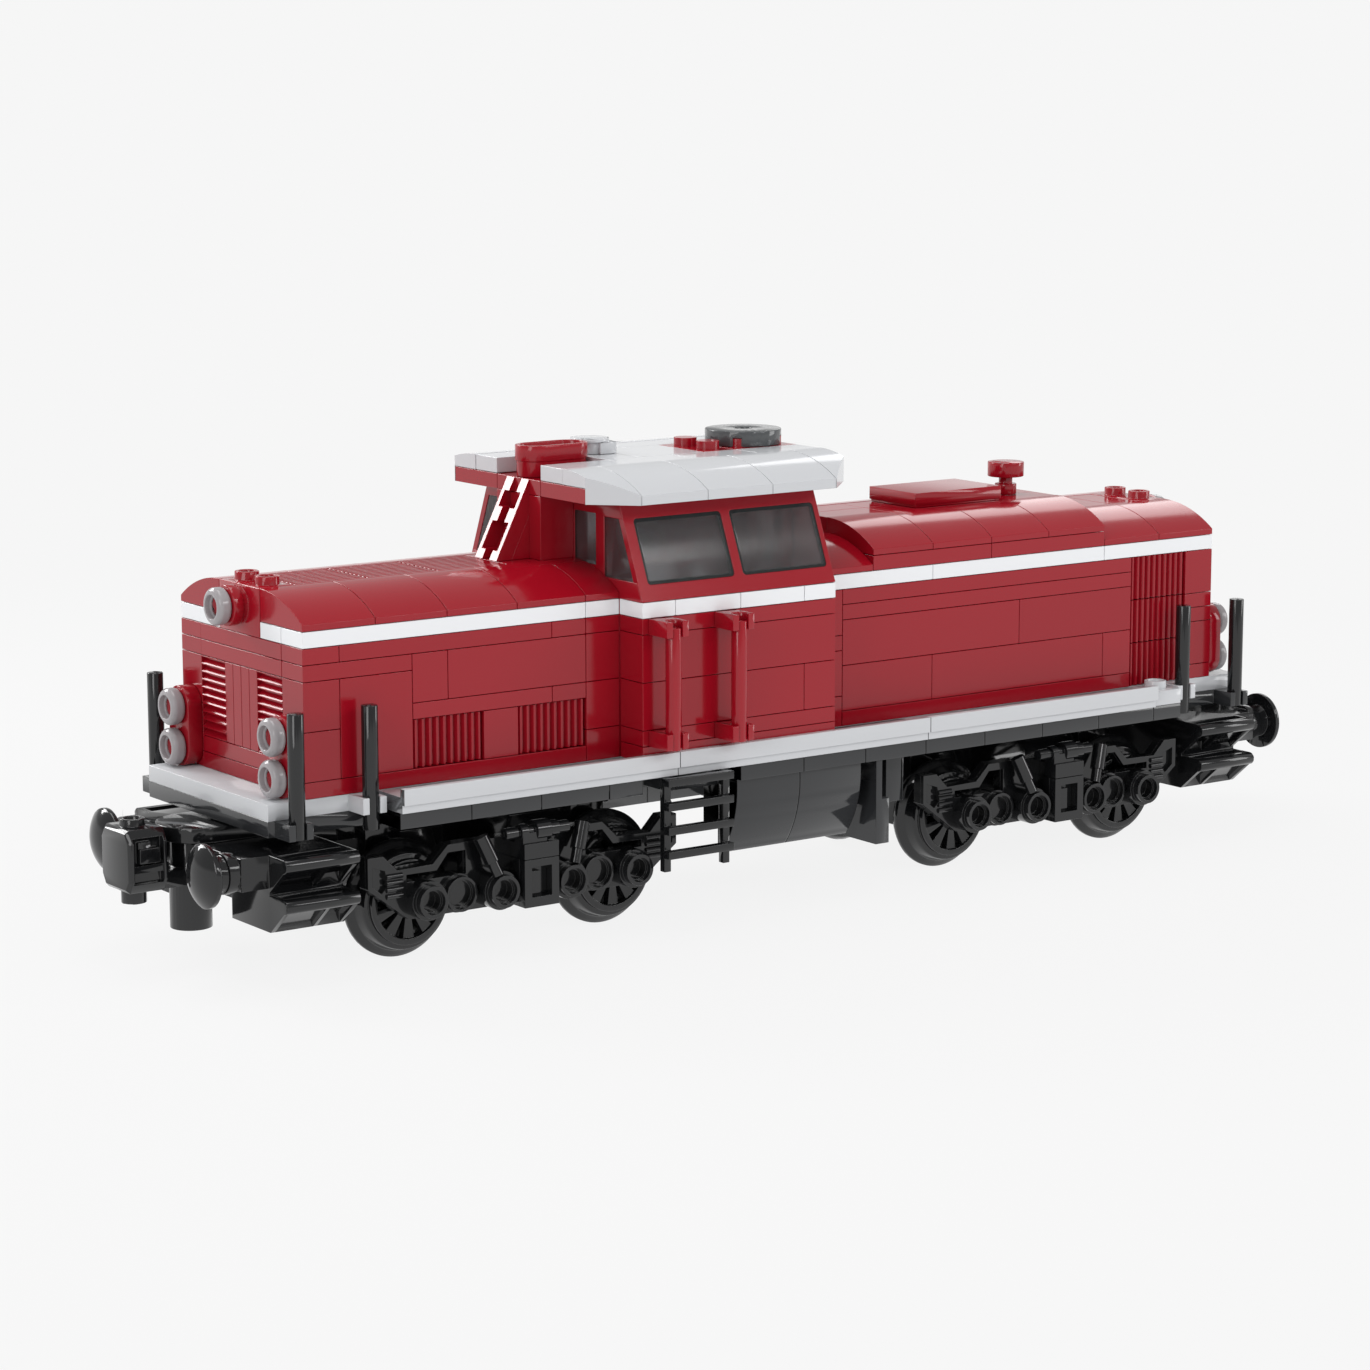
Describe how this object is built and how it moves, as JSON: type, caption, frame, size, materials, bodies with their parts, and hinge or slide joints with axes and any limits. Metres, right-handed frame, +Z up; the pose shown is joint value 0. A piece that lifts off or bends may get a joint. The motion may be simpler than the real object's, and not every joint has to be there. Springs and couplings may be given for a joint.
{
  "type": "brick-built toy diesel locomotive",
  "caption": "Brick-built toy diesel locomotive with a centre cab between a short and a long hood, on swivelling bogies with turning wheels and magnetic end couplers.",
  "frame": {"origin": "centre of the overall box at its lowest level, where the wheel flanges meet the rail head", "axes": "+X along the locomotive towards the long hood's end, +Y to its left, +Z up"},
  "size_m": [0.2878, 0.077, 0.096],
  "materials": {
    "red_plastic": "smooth glossy moulded plastic",
    "white_plastic": "smooth glossy moulded plastic",
    "light_grey_plastic": "smooth glossy moulded plastic",
    "mid_grey_plastic": "smooth glossy moulded plastic",
    "dark_grey_plastic": "smooth glossy moulded plastic",
    "black_plastic": "smooth glossy moulded plastic",
    "smoke_glass": "clear smoke-tinted plastic, polished",
    "axle_metal": "plain bright metal rod"
  },
  "bodies": {
    "chassis": {"underframe": "black_plastic", "deck": "light_grey_plastic", "running_boards": "light_grey_plastic", "fuel_tank": "black_plastic", "ladders": "black_plastic", "short_hood_sides": "red_plastic", "short_hood_nose": "red_plastic", "short_hood_roof": "red_plastic", "long_hood_sides": "red_plastic", "long_hood_nose": "red_plastic", "long_hood_roof": "red_plastic", "stripe": "white_plastic", "lamp_housings": "red_plastic", "lamp_rings": "mid_grey_plastic", "cab_sides": "red_plastic", "cab_end_walls": "red_plastic", "cab_window_panels": "red_plastic", "cab_side_glass": "smoke_glass", "cab_end_glass": "smoke_glass", "cab_interior": "dark_grey_plastic", "cab_roof_plate": "red_plastic", "cab_roof": "light_grey_plastic", "exhaust_duct": "red_plastic", "exhaust_stack": "red_plastic", "roof_fan": "dark_grey_plastic", "roof_cap": "light_grey_plastic", "hood_hatch": "red_plastic", "horn": "red_plastic", "corner_posts": "black_plastic", "grab_rails": "red_plastic"},
    "bogie_near": {"bogie_frame_near": "black_plastic", "side_frames_near": "black_plastic", "end_platform_near": "black_plastic"},
    "coupler_near_body": {"coupler_near": "black_plastic"},
    "bogie_far": {"bogie_frame_far": "black_plastic", "side_frames_far": "black_plastic", "end_platform_far": "black_plastic"},
    "coupler_far_body": {"coupler_far": "black_plastic"},
    "wheelset_1": {"wheels_1": "black_plastic", "axle_1": "axle_metal"},
    "wheelset_2": {"wheels_2": "black_plastic", "axle_2": "axle_metal"},
    "wheelset_3": {"wheels_3": "black_plastic", "axle_3": "axle_metal"},
    "wheelset_4": {"wheels_4": "black_plastic", "axle_4": "axle_metal"}
  },
  "joints": [
    {"name": "bogie_near_yaw", "type": "hinge", "parent": "chassis", "child": "bogie_near", "pos_m": [-0.068, 0, 0.0272], "axis": [0, 0, 1], "range_deg": [-6, 6]},
    {"name": "coupler_near_yaw", "type": "hinge", "parent": "bogie_near", "child": "coupler_near_body", "pos_m": [-0.128, 0, 0.0165], "axis": [0, 0, 1], "range_deg": [-15, 15]},
    {"name": "bogie_far_yaw", "type": "hinge", "parent": "chassis", "child": "bogie_far", "pos_m": [0.068, 0, 0.0272], "axis": [0, 0, 1], "range_deg": [-6, 6]},
    {"name": "coupler_far_yaw", "type": "hinge", "parent": "bogie_far", "child": "coupler_far_body", "pos_m": [0.128, 0, 0.0165], "axis": [0, 0, 1], "range_deg": [-15, 15]},
    {"name": "wheelset_1_spin", "type": "hinge", "parent": "bogie_near", "child": "wheelset_1", "pos_m": [-0.092, 0, 0.0117], "axis": [0, 1, 0], "continuous": true},
    {"name": "wheelset_2_spin", "type": "hinge", "parent": "bogie_near", "child": "wheelset_2", "pos_m": [-0.044, 0, 0.0117], "axis": [0, 1, 0], "continuous": true},
    {"name": "wheelset_3_spin", "type": "hinge", "parent": "bogie_far", "child": "wheelset_3", "pos_m": [0.044, 0, 0.0117], "axis": [0, 1, 0], "continuous": true},
    {"name": "wheelset_4_spin", "type": "hinge", "parent": "bogie_far", "child": "wheelset_4", "pos_m": [0.092, 0, 0.0117], "axis": [0, 1, 0], "continuous": true}
  ]
}
